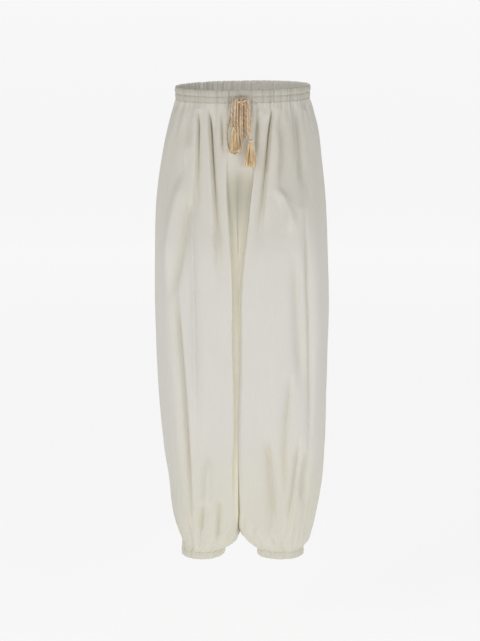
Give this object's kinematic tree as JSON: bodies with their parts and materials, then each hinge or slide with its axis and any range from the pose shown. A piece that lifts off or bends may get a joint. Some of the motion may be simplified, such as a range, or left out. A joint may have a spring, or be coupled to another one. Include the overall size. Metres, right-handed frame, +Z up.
{
  "type": "drawstring trousers",
  "caption": "Balloon-leg trousers gathered into a drawstring waistband and elasticated cuffs, with a tasselled cord tied in a bow.",
  "frame": {"origin": "centre of the waist opening, at about mid-height of the waistband", "axes": "+Z up, -Y the wearer's front, +X the wearer's left"},
  "size_m": [0.3726, 0.2652, 1.045],
  "materials": {
    "cotton": "plain woven cotton, matt, off-white",
    "band_cotton": "plain woven cotton, matt, gathered over elastic",
    "cuff_cotton": "plain woven cotton, matt, gathered over elastic",
    "rope": "twisted tan cotton cord",
    "yarn": "loose golden tan yarn"
  },
  "bodies": {
    "root": {"front_right": "cotton", "front_left": "cotton", "back_right": "cotton", "back_left": "cotton", "waistband": "band_cotton", "cuff_right": "cuff_cotton", "cuff_left": "cuff_cotton", "knot": "rope", "loop_right": "rope", "loop_left": "rope", "end_right": "rope", "end_left": "rope", "tassel_right": "yarn", "tassel_left": "yarn"}
  },
  "joints": []
}
